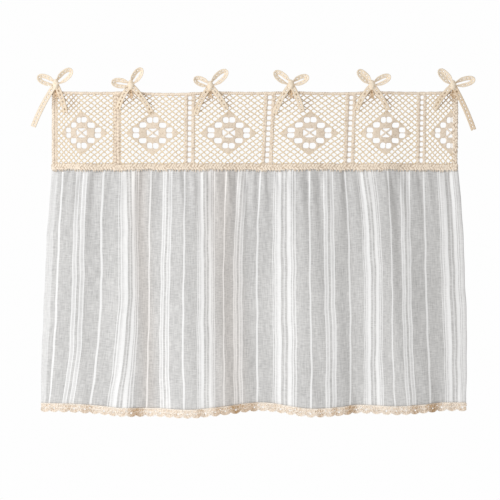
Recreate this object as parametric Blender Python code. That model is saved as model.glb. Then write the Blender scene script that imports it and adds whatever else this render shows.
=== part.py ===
"""A small under-counter curtain: striped cloth hung from a crochet lace heading.

Six crochet tapes are sewn to the heading's top edge and tied in bows, and a scalloped crochet trim
runs along the cloth's hem. Every piece has the shape in which it hangs: the heading sways a little,
and the cloth is gathered lightly under its seam and falls in broad, uneven folds.

Metres, +Z up. X runs along the width, the front faces -Y, and the origin is at the middle of the
heading's top edge.
"""

import math
from collections import namedtuple

import bmesh
import bpy
import numpy as np
from mathutils import Vector, geometry

# Heading: one length of crochet lace
HEADING_DROP = 0.173
LACE_THICKNESS = 0.002
TOP_BRAID = 0.007
FOOT_BRAID = 0.014
SIDE_BRAID = 0.009
REPEAT = 0.180  # flat width of one medallion with its net and ladder
MEDALLIONS = 6
MEDALLION_Z = -0.093
MEDALLION_HALF = (0.0644, 0.0488)  # half width and half height of the solid diamond
# Where the flat lace hangs: (repeats from the first medallion's centre, x). The first ladder is folded shut
LACE_HANG = (
    (-0.53, -0.451),
    (0.0, -0.386),
    (0.445, -0.313),
    (0.555, -0.300),
    (1.0, -0.227),
    (1.5, -0.145),
    (2.0, -0.058),
    (2.5, 0.028),
    (3.0, 0.122),
    (3.5, 0.212),
    (4.0, 0.291),
    (4.5, 0.371),
    (5.0, 0.436),
    (5.13, 0.451),
)
EDGE_STEP = 0.012  # spacing of the points along the braids
WITHOUT_HOLES = 2  # the triangulation's output type
SAME_POINT = 1e-6

# Holes of a medallion: (x, z, half width, half height) from its centre, mirrored left to right
MEDALLION_HOLES = (
    (0.0072, 0.0290, 0.0062, 0.0062),
    (0.0072, -0.0285, 0.0062, 0.0062),
    (0.0240, 0.0172, 0.0095, 0.0058),
    (0.0240, -0.0172, 0.0095, 0.0058),
    (0.0412, 0.0062, 0.0080, 0.0048),
    (0.0412, -0.0062, 0.0080, 0.0048),
)
CORNER_CUT = 0.33
WINDOW_HALF = (0.0155, 0.0070)  # the two side openings of the crossed middle window
WINDOW_CROSS = 0.0014

# The net's diamonds, at twice the pitch of the real net
NET_CELLS = 4  # across a medallion
NET_OPEN = 0.72  # share of a cell that is open
TOP_CELL = 6
LOWEST_CELL = -4
SEWN_HALF = 0.018  # the net is closed this far to each side of a tie's root

# A ladder is a column of square holes between two braids, halfway between two medallions
LADDERS = (1.5, 2.5, 3.5, 4.5)  # the one at half a repeat is folded shut
LADDER_HALF = 0.0100
LADDER_HOLE_HALF = (0.0045, 0.0044)
LADDER_HOLES = 12

# Striped cloth
CLOTH_THICKNESS = 0.0012
CLOTH_COLUMNS = 110
CLOTH_LEVELS = (0.0, 0.045, 0.13, 0.28, 0.48, 0.72, 1.0)  # share of the drop under the seam
CLOTH_FOOT = -0.694
LAP = 0.006  # the cloth's top edge lies this far up behind the heading's foot braid
SEAM_GAP = 0.0008
# Crests and valleys from left to right. A depth is the middle surface's y, and drop lengthens the hem
Fold = namedtuple("Fold", "seam_x hem_x top_depth seam_depth hem_depth drop")
FOLD_TABLE = (
    (-0.451, -0.475, 0.000, 0.000, 0.004, 0.000),
    (-0.390, -0.420, -0.002, -0.004, -0.008, 0.000),
    (-0.338, -0.362, 0.003, 0.003, 0.000, 0.003),
    (-0.286, -0.292, -0.006, -0.008, -0.019, 0.009),
    (-0.250, -0.252, 0.000, 0.002, -0.006, 0.010),
    (-0.166, -0.148, -0.003, -0.006, -0.028, 0.014),
    (-0.050, -0.006, 0.003, 0.006, 0.022, -0.002),
    (0.078, 0.127, -0.004, -0.005, -0.024, 0.012),
    (0.190, 0.221, 0.003, 0.004, 0.014, 0.001),
    (0.267, 0.318, -0.005, -0.006, -0.016, 0.007),
    (0.363, 0.411, 0.003, 0.003, 0.012, -0.001),
    (0.452, 0.470, -0.002, 0.000, -0.004, -0.002),
)
FOLDS = [Fold(*row) for row in FOLD_TABLE]
SEAM_X = [fold.seam_x for fold in FOLDS]
SPREAD = 0.6  # the threads lean outwards mostly near the seam
EDGE_BULGE = 0.006  # the right edge swings out this far halfway down
BULGE_REACH = 8  # the higher, the nearer to the edge the bulge stays
GATHER_PITCH = 0.029
GATHER_STRAY = 3.0  # how far the gathers stray from an even pitch, and how often along the seam
STRAY_WAVE = 11.0
GATHER_DEPTH = 0.0032
GATHER_LEVEL = 0.07  # the gathers are deepest here

# Hem trim
TRIM_HEIGHT = 0.017
TRIM_THICKNESS = 0.0016
TRIM_LAP = 0.003
SCALLOPS = 45
SCALLOP_DEPTH = 0.004
SCALLOP_POINTS = 3

# Ties
TAPE_WIDTH = 0.0125
TAPE_THICKNESS = 0.0014
KNOT_HALF = (0.0062, 0.0060, 0.0112)
KNOT_SIDES = 10
KNOT_RINGS = 7
KNOT_FORWARD = 0.006
LOOP_BREADTH = 0.23  # half breadth, as a share of the loop's length
LOOP_TILT = math.radians(36)  # the tape of a loop is turned this far towards the front
LOOP_MIDDLE = 0.6  # share of its length
TEARDROP = 0.35  # the lower, the sharper the teardrop at the knot
PINCH = 0.45  # share of the tape's width in the knot
OPENED_AT = 0.45  # share of the length where the tape has its full width
LOOP_START = 0.06  # share of the teardrop that the knot hides at each end
LOOP_POINTS = 14
TAIL_POINTS = 7
TAIL_CLEARANCE = 0.0020
TAIL_BULGE = 0.004
TAIL_LIFT = 0.004
TAPE_LAYER = 0.0021  # the left tail, the right tail and the root leave the knot one behind the other
ROOT_WIDTH = 0.010
ROOT_FOOT = -0.017
ROOT_GAP = 0.0004
# Loops have a length and an angle from +X in degrees, and tails have the place of their ends
Bow = namedtuple("Bow", "x z left_length left_angle right_length right_angle left_x left_z right_x right_z")
BOW_TABLE = (
    (-0.442, 0.015, 0.042, 158, 0.048, 40, -0.492, -0.080, -0.420, -0.051),
    (-0.275, 0.013, 0.042, 172, 0.044, 56, -0.304, -0.041, -0.230, -0.048),
    (-0.099, 0.011, 0.038, 156, 0.050, 42, -0.132, -0.055, -0.062, -0.042),
    (0.083, 0.014, 0.048, 143, 0.043, 24, 0.043, -0.053, 0.108, -0.047),
    (0.261, 0.013, 0.044, 137, 0.045, 26, 0.225, -0.044, 0.296, -0.044),
    (0.441, 0.013, 0.045, 136, 0.050, 17, 0.398, -0.042, 0.486, -0.087),
)
BOWS = [Bow(*row) for row in BOW_TABLE]


def clear_scene():
    for item in list(bpy.data.objects):
        bpy.data.objects.remove(item, do_unlink=True)


def material(name, colour, roughness):
    made = bpy.data.materials.new(name)
    made.use_nodes = True
    shader = made.node_tree.nodes["Principled BSDF"]
    shader.inputs["Base Color"].default_value = (*colour, 1.0)
    shader.inputs["Roughness"].default_value = roughness
    shader.inputs["Metallic"].default_value = 0.0
    return made


def folded(thread, column):
    """A column of the folds at the thread that starts at seam x thread, level at each crest and valley."""
    index = int(np.clip(np.searchsorted(SEAM_X, thread) - 1, 0, len(FOLDS) - 2))
    here = getattr(FOLDS[index], column)
    there = getattr(FOLDS[index + 1], column)
    share = (thread - SEAM_X[index]) / (SEAM_X[index + 1] - SEAM_X[index])
    share = min(max(share, 0.0), 1.0)
    return here + (there - here) * (1 - math.cos(math.pi * share)) / 2


def lace_depth(x, z):
    """Y of the heading's middle surface."""
    down = min(max(-z / HEADING_DROP, 0.0), 1.0)
    return (1 - down) * folded(x, "top_depth") + down * folded(x, "seam_depth")


def lace_x(repeats):
    places, hung = zip(*LACE_HANG)
    return float(np.interp(repeats, places, hung))


def sheet(name, points, faces, thickness, look):
    """A closed sheet from the points of its middle surface."""
    mesh = bpy.data.meshes.new(name)
    mesh.from_pydata([tuple(point) for point in points], [], faces)
    mesh.materials.append(look)
    made = bpy.data.objects.new(name, mesh)
    bpy.context.collection.objects.link(made)
    body = bmesh.new()
    body.from_mesh(mesh)
    bmesh.ops.recalc_face_normals(body, faces=body.faces)
    body.to_mesh(mesh)
    body.free()
    solid = made.modifiers.new("thickness", "SOLIDIFY")
    solid.thickness = thickness
    solid.offset = 0.0
    return made


def grid_faces(columns, rows):
    """Quads of a grid whose points run row by row."""
    corners = (0, 1, columns + 1, columns)
    return [
        tuple(row * columns + column + corner for corner in corners)
        for row in range(rows - 1)
        for column in range(columns - 1)
    ]


def rectangle(x, z, half_width, half_height):
    return [(x - half_width, z - half_height), (x + half_width, z - half_height),
            (x + half_width, z + half_height), (x - half_width, z + half_height)]


def rounded(x, z, half_width, half_height):
    """A hole with its corners cut, as the stitches round them."""
    cut_x = half_width * CORNER_CUT
    cut_z = half_height * CORNER_CUT
    return [(x - half_width + cut_x, z - half_height), (x + half_width - cut_x, z - half_height),
            (x + half_width, z - half_height + cut_z), (x + half_width, z + half_height - cut_z),
            (x + half_width - cut_x, z + half_height), (x - half_width + cut_x, z + half_height),
            (x - half_width, z + half_height - cut_z), (x - half_width, z - half_height + cut_z)]


def medallion_holes():
    """The holes round each medallion's middle, and the two sides of its crossed window."""
    holes = []
    for number in range(MEDALLIONS):
        sides = (-1,) if number == MEDALLIONS - 1 else (-1, 1)  # the last medallion is cut at its middle
        for side in sides:
            for x, z, half_width, half_height in MEDALLION_HOLES:
                holes.append((number, rounded(side * x, z, half_width, half_height)))
            near = side * WINDOW_CROSS
            far = side * WINDOW_HALF[0]
            holes.append((number, [(near, 0.0), (far, -WINDOW_HALF[1]), (far, WINDOW_HALF[1])]))
    return holes


def net_holes():
    """Diamonds in rows beside the medallions, with strands parallel to the medallions' edges."""
    step_x = MEDALLION_HALF[0] / NET_CELLS
    step_z = MEDALLION_HALF[1] / NET_CELLS
    reach = int((REPEAT / 2 - LADDER_HALF - NET_OPEN * step_x) / step_x)
    last = lace_x(LACE_HANG[-1][0]) - SIDE_BRAID
    holes = []
    for number in range(MEDALLIONS):
        for column in range(-reach, reach + 1):
            for row in range(LOWEST_CELL, TOP_CELL + 1):
                if (column + row) % 2 == 0 or abs(column) + abs(row) <= NET_CELLS:
                    continue
                x = column * step_x
                hung = lace_x(number + x / REPEAT)
                if hung + NET_OPEN * step_x > last:
                    continue
                if row == TOP_CELL and any(abs(hung - bow.x) < SEWN_HALF for bow in BOWS):
                    continue
                z = row * step_z
                wide = NET_OPEN * step_x
                high = NET_OPEN * step_z
                holes.append((number, [(x - wide, z), (x, z - high), (x + wide, z), (x, z + high)]))
    return holes


def ladder_holes():
    top = -TOP_BRAID - MEDALLION_Z
    foot = -(HEADING_DROP - FOOT_BRAID) - MEDALLION_Z
    pitch = (top - foot) / LADDER_HOLES
    return [
        (place, rectangle(0.0, foot + (step + 0.5) * pitch, *LADDER_HOLE_HALF))
        for place in LADDERS
        for step in range(LADDER_HOLES)
    ]


def lace_heading(look):
    """One length of lace, laid out flat with its holes, then hung on its folds."""
    left = LACE_HANG[0][1]
    right = LACE_HANG[-1][1]
    across = max(2, round((right - left) / EDGE_STEP))
    down = max(2, round(HEADING_DROP / EDGE_STEP))
    top = [(left + (right - left) * step / across, 0.0) for step in range(across)]
    right_side = [(right, -HEADING_DROP * step / down) for step in range(down)]
    foot = [(right - (right - left) * step / across, -HEADING_DROP) for step in range(across)]
    left_side = [(left, -HEADING_DROP * (1 - step / down)) for step in range(down)]
    points = top + right_side + foot + left_side
    loops = [list(range(len(points)))]
    for place, corners in medallion_holes() + net_holes() + ladder_holes():
        first = len(points)
        points += [(lace_x(place + x / REPEAT), MEDALLION_Z + z) for x, z in corners]
        loops.append(list(range(first, len(points))))
    corners = [Vector(point) for point in points]
    flat, _, faces, *_ = geometry.delaunay_2d_cdt(corners, [], loops, WITHOUT_HOLES, SAME_POINT)
    used = sorted({index for face in faces for index in face})
    places = {index: place for place, index in enumerate(used)}
    hung = [(flat[index].x, lace_depth(flat[index].x, flat[index].y), flat[index].y) for index in used]
    triangles = [tuple(places[index] for index in face) for face in faces]
    return sheet("lace_heading", hung, triangles, LACE_THICKNESS, look)


def cloth_point(across, level):
    """The cloth's middle surface, with across from 0 to 1 and level from 0 at the seam to 1 at the hem."""
    thread = SEAM_X[0] + (SEAM_X[-1] - SEAM_X[0]) * across
    lean = float(np.interp(thread, SEAM_X, [fold.hem_x for fold in FOLDS])) - thread
    x = thread + lean * level**SPREAD + EDGE_BULGE * across**BULGE_REACH * math.sin(math.pi * level)
    behind = LACE_THICKNESS / 2 + CLOTH_THICKNESS / 2 + SEAM_GAP
    seam = folded(thread, "seam_depth") + behind
    hem = folded(thread, "hem_depth")
    phase = 2 * math.pi * thread / GATHER_PITCH + GATHER_STRAY * math.sin(STRAY_WAVE * thread)
    swell = level / GATHER_LEVEL * math.exp(1 - level / GATHER_LEVEL)
    y = seam + (hem - seam) * level + GATHER_DEPTH * (1 + math.sin(phase)) * swell
    foot = CLOTH_FOOT - folded(thread, "drop")
    z = -HEADING_DROP + (foot + HEADING_DROP) * level
    return Vector((x, y, z))


def cloth_panel(look):
    points = []
    for column in range(CLOTH_COLUMNS + 1):
        seam = cloth_point(column / CLOTH_COLUMNS, 0.0)
        higher = lace_depth(seam.x, seam.z + LAP) - lace_depth(seam.x, seam.z)
        points.append(seam + Vector((0.0, higher, LAP)))
    for level in CLOTH_LEVELS:
        points += [cloth_point(column / CLOTH_COLUMNS, level) for column in range(CLOTH_COLUMNS + 1)]
    faces = grid_faces(CLOTH_COLUMNS + 1, len(CLOTH_LEVELS) + 1)
    return sheet("cloth_panel", points, faces, CLOTH_THICKNESS, look)


def hem_trim(look):
    """Scalloped edging, lapped over the front of the hem."""
    columns = SCALLOPS * SCALLOP_POINTS
    forward = CLOTH_THICKNESS / 2 + TRIM_THICKNESS / 2 + SEAM_GAP
    top = []
    foot = []
    for column in range(columns + 1):
        here = cloth_point(column / columns, 1.0)
        before = cloth_point(max(column - 1, 0) / columns, 1.0)
        after = cloth_point(min(column + 1, columns) / columns, 1.0)
        along = (after - before).normalized()
        out = Vector((along.y, -along.x, 0.0)).normalized()
        edge = here + out * forward
        scallop = SCALLOP_DEPTH * abs(math.sin(math.pi * column / SCALLOP_POINTS))
        top.append(edge + Vector((0.0, 0.0, TRIM_LAP)))
        foot.append(edge - Vector((0.0, 0.0, TRIM_HEIGHT - SCALLOP_DEPTH + scallop)))
    return sheet("hem_trim", top + foot, grid_faces(columns + 1, 2), TRIM_THICKNESS, look)


def tape(name, path, halves, thicknesses):
    """A closed length of tape along path, from its half-width and half-thickness vectors at each point."""
    body = bmesh.new()
    rings = []
    for point, half, thick in zip(path, halves, thicknesses):
        corners = (point - half - thick, point + half - thick, point + half + thick, point - half + thick)
        rings.append([body.verts.new(corner) for corner in corners])
    for ring, following in zip(rings, rings[1:]):
        for corner in range(4):
            nearby = (corner + 1) % 4
            body.faces.new((ring[corner], ring[nearby], following[nearby], following[corner]))
    body.faces.new(rings[0])
    body.faces.new(rings[-1])
    bmesh.ops.recalc_face_normals(body, faces=body.faces)
    mesh = bpy.data.meshes.new(name)
    body.to_mesh(mesh)
    body.free()
    made = bpy.data.objects.new(name, mesh)
    made.hide_render = True
    made.display_type = "WIRE"
    return made


def bow_loop(name, knot, length, angle):
    """A teardrop of tape out of the knot, turned so that it opens towards the front like a funnel."""
    out = Vector((math.cos(math.radians(angle)), 0.0, math.sin(math.radians(angle))))
    side = Vector((-out.z, 0.0, out.x))
    path = []
    for step in range(LOOP_POINTS):
        turn = 2 * math.pi * (LOOP_START + (1 - 2 * LOOP_START) * step / (LOOP_POINTS - 1))
        reach = (1 - math.cos(turn)) / 2
        spread = math.sin(turn) * (TEARDROP + (1 - TEARDROP) * math.sin(turn / 2))
        path.append(knot + out * (length * reach) + side * (LOOP_BREADTH * length * spread))
    halves = []
    thicknesses = []
    for step, point in enumerate(path):
        along = (path[min(step + 1, LOOP_POINTS - 1)] - path[max(step - 1, 0)]).normalized()
        outward = Vector((along.z, 0.0, -along.x))
        if outward.dot(point - knot - out * (length * LOOP_MIDDLE)) < 0:
            outward = -outward
        opened = min(1.0, (point - knot).length / length / OPENED_AT)
        tilt = LOOP_TILT * opened
        width = math.cos(tilt) * Vector((0.0, -1.0, 0.0)) + math.sin(tilt) * outward
        pinch = PINCH + (1 - PINCH) * opened
        halves.append(width * (TAPE_WIDTH / 2 * pinch))
        thicknesses.append(along.cross(width).normalized() * (TAPE_THICKNESS / 2))
    return tape(name, path, halves, thicknesses)


def hanging_tape(name, start, end, bulge, width, clearance):
    """Tape that falls from start to end in front of the heading, bowed sideways by bulge."""
    control = (start + end) / 2 + Vector((bulge, 0.0, TAIL_LIFT))
    path = []
    halves = []
    thicknesses = []
    for step in range(TAIL_POINTS):
        share = step / (TAIL_POINTS - 1)
        point = start * (1 - share) ** 2 + control * (2 * share * (1 - share)) + end * share**2
        along = (control - start) * (1 - share) + (end - control) * share
        along = Vector((along.x, 0.0, along.z)).normalized()
        across = Vector((-along.z, 0.0, along.x)) * (width / 2)
        forward = LACE_THICKNESS / 2 + TAPE_THICKNESS / 2 + clearance
        edges = [lace_depth(point.x + way * across.x, point.z + way * across.z) for way in (-1, 1)]
        middle = min(sum(edges) / 2, lace_depth(point.x, point.z)) - forward
        y = start.y + (middle - start.y) * share
        tilt = (edges[1] - edges[0]) / 2 * share
        path.append(Vector((point.x, y, point.z)))
        halves.append(across + Vector((0.0, tilt, 0.0)))
        thicknesses.append(Vector((0.0, -TAPE_THICKNESS / 2, 0.0)))
    return tape(name, path, halves, thicknesses)


def tie(number, bow, look):
    """One tape sewn on by its middle and tied in a bow, as one solid."""
    knot = Vector((bow.x, lace_depth(bow.x, 0.0) - KNOT_FORWARD, bow.z))
    name = f"tie_{number}"
    low = knot - Vector((0.0, 0.0, KNOT_HALF[2] / 2))
    layer = Vector((0.0, TAPE_LAYER, 0.0))
    strands = bpy.data.collections.new(f"{name}_strands")
    bpy.context.scene.collection.children.link(strands)
    left_end = Vector((bow.left_x, 0.0, bow.left_z))
    right_end = Vector((bow.right_x, 0.0, bow.right_z))
    root_end = Vector((bow.x, 0.0, ROOT_FOOT))
    pieces = (
        bow_loop(f"{name}_left_loop", knot, bow.left_length, bow.left_angle),
        bow_loop(f"{name}_right_loop", knot, bow.right_length, bow.right_angle),
        hanging_tape(f"{name}_left_tail", low - layer, left_end, -TAIL_BULGE, TAPE_WIDTH, TAIL_CLEARANCE),
        hanging_tape(f"{name}_right_tail", low, right_end, TAIL_BULGE, TAPE_WIDTH, TAIL_CLEARANCE),
        hanging_tape(f"{name}_root", low + layer, root_end, 0.0, ROOT_WIDTH, ROOT_GAP),
    )
    for piece in pieces:
        strands.objects.link(piece)
    body = bmesh.new()
    bmesh.ops.create_uvsphere(body, u_segments=KNOT_SIDES, v_segments=KNOT_RINGS, radius=1.0)
    bmesh.ops.scale(body, vec=KNOT_HALF, verts=body.verts)
    bmesh.ops.translate(body, vec=knot, verts=body.verts)
    mesh = bpy.data.meshes.new(name)
    body.to_mesh(mesh)
    body.free()
    mesh.materials.append(look)
    made = bpy.data.objects.new(name, mesh)
    bpy.context.collection.objects.link(made)
    union = made.modifiers.new("strands", "BOOLEAN")
    union.operation = "UNION"
    union.operand_type = "COLLECTION"
    union.collection = strands
    union.solver = "EXACT"
    return made


clear_scene()
cream = material("cream_crochet", (0.86, 0.76, 0.64), 0.9)
striped = material("striped_cloth", (0.66, 0.66, 0.67), 0.9)
lace_heading(cream)
cloth_panel(striped)
hem_trim(cream)
for place, tied in enumerate(BOWS, 1):
    tie(place, tied, cream)
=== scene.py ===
import math

import bpy
import numpy as np
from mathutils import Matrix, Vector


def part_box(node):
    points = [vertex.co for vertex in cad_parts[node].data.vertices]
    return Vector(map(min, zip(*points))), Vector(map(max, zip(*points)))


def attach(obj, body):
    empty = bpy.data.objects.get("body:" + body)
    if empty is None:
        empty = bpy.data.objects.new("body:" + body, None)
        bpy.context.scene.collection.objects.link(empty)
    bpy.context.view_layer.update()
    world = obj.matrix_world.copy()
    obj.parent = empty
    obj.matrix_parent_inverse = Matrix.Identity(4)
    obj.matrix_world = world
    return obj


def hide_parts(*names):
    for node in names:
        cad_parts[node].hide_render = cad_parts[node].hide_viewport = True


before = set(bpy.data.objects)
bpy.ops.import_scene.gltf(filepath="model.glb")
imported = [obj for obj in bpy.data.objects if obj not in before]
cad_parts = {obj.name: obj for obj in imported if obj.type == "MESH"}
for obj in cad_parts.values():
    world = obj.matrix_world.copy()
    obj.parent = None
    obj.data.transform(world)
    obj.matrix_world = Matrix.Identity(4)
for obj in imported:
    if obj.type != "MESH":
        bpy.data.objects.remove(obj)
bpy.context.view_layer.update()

bpy.ops.object.select_all(action="DESELECT")


# Heading: one length of cream cotton crochet lace, a medallion to every repeat with net round it and
# a ladder of square holes between two repeats. It is crocheted in one piece and hangs from its ties,
# so its top edge dips a little between them and it sways with the folds of the cloth.
HEADING_DROP = -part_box("lace_heading")[0].z
LACE_HALF = 0.0010
REPEAT = 0.180
MEDALLION_Z = -0.093
FLAT_LEFT = -0.53 * REPEAT
FLAT_RIGHT = 5.13 * REPEAT
# Where the flat lace hangs: repeats from the first medallion's centre, and x
HUNG_REPEATS, HUNG_X = np.array([
    (-0.53, -0.451), (0.0, -0.386), (0.445, -0.313), (0.555, -0.300), (1.0, -0.227), (1.5, -0.145),
    (2.0, -0.058), (2.5, 0.030), (3.0, 0.122), (3.5, 0.212), (4.0, 0.291), (4.5, 0.371),
    (5.0, 0.436), (5.13, 0.451),
]).T
# The ladders lean to the right towards the top, each by its own amount
LADDER_X = (-0.320, -0.145, 0.030, 0.212, 0.371, 0.451)
LADDER_LEAN = (0.0, 0.0008, 0.0040, 0.0030, 0.0012, 0.0)
# Crests and valleys of the cloth from left to right: x at the seam and at the hem, depth (y) at the
# heading's top, at the seam and at the hem, and how much longer the hem hangs there
SEAM_X, HEM_X, TOP_DEPTH, SEAM_DEPTH, HEM_DEPTH, HEM_LONGER = np.array([
    (-0.451, -0.475, 0.000, 0.000, 0.000, 0.0000),
    (-0.390, -0.420, -0.002, -0.005, -0.006, 0.0010),
    (-0.328, -0.350, 0.003, 0.001, -0.001, 0.0055),
    (-0.276, -0.287, -0.005, -0.002, -0.010, 0.0110),
    (-0.236, -0.236, 0.000, 0.002, 0.001, 0.0110),
    (-0.166, -0.148, -0.003, -0.006, -0.025, 0.0135),
    (-0.092, -0.080, -0.002, -0.004, -0.020, 0.0080),
    (0.008, 0.014, 0.003, 0.005, 0.004, -0.0010),
    (0.100, 0.131, -0.004, -0.005, -0.021, 0.0115),
    (0.168, 0.186, 0.001, 0.000, -0.017, 0.0085),
    (0.212, 0.229, 0.003, 0.002, -0.006, 0.0035),
    (0.288, 0.317, -0.005, -0.007, -0.018, 0.0065),
    (0.345, 0.375, 0.001, 0.0045, -0.010, 0.0030),
    (0.393, 0.424, 0.003, 0.0025, 0.003, -0.0010),
    (0.452, 0.470, -0.002, 0.001, 0.002, -0.0010),
]).T
# Knot of each bow, x and z, and how far the top edge sags between each two
KNOTS = ((-0.442, 0.015), (-0.275, 0.013), (-0.099, 0.011), (0.080, 0.014), (0.260, 0.013), (0.440, 0.013))
TOP_SAGS = (0.0015, 0.0042, 0.0016, 0.0024, 0.0014)


def curve_through(x, places, values):
    """A smooth curve through the values that never overshoots them."""
    slopes = np.diff(values) / np.diff(places)
    ends = np.concatenate((slopes[:1], np.zeros(len(slopes) - 1), slopes[-1:]))
    for index in range(1, len(slopes)):
        before = slopes[index - 1]
        after = slopes[index]
        if before * after > 0:
            ends[index] = 2 * before * after / (before + after)
    index = np.clip(np.searchsorted(places, x) - 1, 0, len(slopes) - 1)
    width = (places[1:] - places[:-1])[index]
    share = np.clip((x - places[index]) / width, 0.0, 1.0)
    return (
        (2 * share**3 - 3 * share**2 + 1) * values[index]
        + (share**3 - 2 * share**2 + share) * width * ends[index]
        + (3 * share**2 - 2 * share**3) * values[index + 1]
        + (share**3 - share**2) * width * ends[index + 1]
    )


def lace_depth(x, z):
    """Y of the heading's middle surface."""
    down = np.clip(-z / HEADING_DROP, 0.0, 1.0)
    return (1 - down) * curve_through(x, SEAM_X, TOP_DEPTH) + down * curve_through(x, SEAM_X, SEAM_DEPTH)


def hang_lace(flat_x, z, lift):
    """Hangs points of the flat lace, each lifted this far out of its front."""
    x = np.interp(flat_x / REPEAT, HUNG_REPEATS, HUNG_X)
    x = x + np.interp(x, LADDER_X, LADDER_LEAN) * (z / HEADING_DROP + 0.5) * 2
    y = lace_depth(x, z)
    near_top = np.exp(-((z / 0.040) ** 2))
    dip = np.zeros_like(x)
    for (left, _), (right, _), sag in zip(KNOTS, KNOTS[1:], TOP_SAGS):
        share = np.clip((x - left) / (right - left), 0.0, 1.0)
        dip += sag * 4 * share * (1 - share)
    for knot_x, _ in KNOTS:
        way = np.arctan2(x - knot_x, 0.004 - z)
        pucker = np.exp(-(((x - knot_x) / 0.026) ** 2)) * near_top
        y = y + 0.0016 * pucker * np.cos(7 * way)
    # The foot is drawn down unevenly by the stitches that hold the cloth
    foot = 0.0032 + 0.0012 * np.sin(23 * x + 1.1) * np.sin(57 * x) + 0.0007 * np.sin(141 * x)
    near_foot = np.exp(-(((z + HEADING_DROP) / 0.016) ** 2))
    return np.stack((x, y - lift, z - dip * near_top - foot * near_foot), axis=-1)


def knot_painted_shade(points):
    """How much painted shade darkens the lace round the knots, at points of the hung lace."""
    x, _, z = points.T
    drawn = np.zeros_like(x)
    for knot_x, _ in KNOTS:
        drawn += np.exp(-(((x - knot_x) / 0.024) ** 2) - ((z + 0.010) / 0.022) ** 2)
    return drawn


def behind_ties(points):
    """How far the lace lies in the shade of the ties' hanging ends, at points of the hung lace."""
    x, _, z = points.T
    shaded = np.zeros_like(x)
    for knot_x, _ in KNOTS:
        shaded += np.exp(-(((x - knot_x - 0.037) / 0.011) ** 2) - ((z + 0.024) / 0.020) ** 2)
        shaded += 0.5 * np.exp(-(((x - knot_x + 0.013) / 0.010) ** 2) - ((z + 0.022) / 0.016) ** 2)
    return shaded


# How much painted shade darkens the rim of a sheet, as if it lay deep in the stitches
RIM_PAINTED_SHADE = 0.62


def closed_sheet(inside, half, painted_shade, place):
    """Points and faces of a closed sheet that fills the grid wherever inside is above zero.

    half is half its thickness at each grid point, the third argument how much painted shade darkens each
    point, and place(column, row, lift) puts the points.
    """
    solid = inside > 0
    front = np.full(inside.shape, -1)
    count = int(solid.sum())
    front[solid] = np.arange(count)
    row_of, column_of = np.nonzero(solid)
    points = [
        place(column_of.astype(float), row_of.astype(float), half[solid]),
        place(column_of.astype(float), row_of.astype(float), -half[solid]),
    ]
    rim = {}
    rim_columns = []
    rim_rows = []

    def crossing(row, column, next_row, next_column):
        """The point of the rim between two neighbours on the grid."""
        key = (min(row, next_row), min(column, next_column), row != next_row)
        if key not in rim:
            here = inside[row, column]
            there = inside[next_row, next_column]
            share = min(max(here / (here - there), 0.12), 0.88)
            rim[key] = 2 * count + len(rim_rows)
            rim_rows.append(row + (next_row - row) * share)
            rim_columns.append(column + (next_column - column) * share)
        return rim[key]

    filled = solid[:-1, :-1].astype(int) + solid[:-1, 1:] + solid[1:, 1:] + solid[1:, :-1]
    row, column = np.nonzero(filled == 4)
    whole = np.stack((
        front[row, column],
        front[row, column + 1],
        front[row + 1, column + 1],
        front[row + 1, column],
    ), axis=-1)
    faces = whole.tolist() + (whole[:, ::-1] + count).tolist()
    for row, column in zip(*(places.tolist() for places in np.nonzero((filled > 0) & (filled < 4)))):
        corners = ((row, column), (row, column + 1), (row + 1, column + 1), (row + 1, column))
        state = [bool(solid[corner]) for corner in corners]
        middle = sum(inside[corner] for corner in corners)
        apart = state[0] == state[2] and state[1] == state[3] and middle < 0
        outline = []
        pieces = []
        for turn in range(4):
            corner = corners[turn]
            after = (turn + 1) % 4
            if state[turn]:
                outline.append((front[corner], True))
            if state[turn] != state[after]:
                outline.append((crossing(*corner, *corners[after]), False))
        if apart:
            for turn, (_, at_corner) in enumerate(outline):
                if at_corner:
                    pieces.append([outline[turn - 1], outline[turn], outline[(turn + 1) % len(outline)]])
        else:
            pieces.append(outline)
        for piece in pieces:
            faces.append([int(index) for index, _ in piece])
            faces.append([int(index + count if at_corner else index) for index, at_corner in piece[::-1]])
    rim_columns = np.array(rim_columns)
    rim_rows = np.array(rim_rows)
    points.append(place(rim_columns, rim_rows, np.zeros(len(rim_rows))))
    point_shades = np.concatenate((np.tile(painted_shade[solid], 2), np.full(len(rim_rows), RIM_PAINTED_SHADE)))
    flat_columns = np.concatenate((np.tile(column_of.astype(float), 2), rim_columns))
    flat_rows = np.concatenate((np.tile(row_of.astype(float), 2), rim_rows))
    return np.concatenate(points), faces, point_shades, (flat_columns, flat_rows)


def make_piece(name, points, faces, look, shade, flat=None, attribute="painted_shade"):
    """A smooth-shaded object, with its shade as a point attribute and its cut as a UV map in metres."""
    mesh = bpy.data.meshes.new(name)
    mesh.from_pydata(np.asarray(points).tolist(), [], faces)
    mesh.validate()
    shades = mesh.attributes.new(attribute, "FLOAT", "POINT")
    shades.data.foreach_set("value", np.asarray(shade, dtype=np.float32))
    if flat is not None:
        cut = mesh.uv_layers.new(name="cut")
        corner = np.empty(len(mesh.loops), dtype=np.int32)
        mesh.loops.foreach_get("vertex_index", corner)
        cut.data.foreach_set("uv", np.stack(flat, axis=-1)[corner].astype(np.float32).ravel())
    mesh.shade_smooth()
    mesh.materials.append(look)
    piece = bpy.data.objects.new(name, mesh)
    bpy.context.collection.objects.link(piece)
    return piece


def box_gap(x, z, half_x, half_z, corner):
    """Distance outside a rectangle with round corners, below zero inside it."""
    over_x = np.abs(x) - (half_x - corner)
    over_z = np.abs(z) - (half_z - corner)
    outside = np.hypot(np.maximum(over_x, 0), np.maximum(over_z, 0))
    return outside + np.minimum(np.maximum(over_x, over_z), 0) - corner


def rounded_half(inside, reach, half):
    """Half the thickness of a round edge."""
    share = np.clip(inside / reach, 0.0, 1.0)
    return half * np.sqrt(1 - (1 - share) ** 2)


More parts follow.
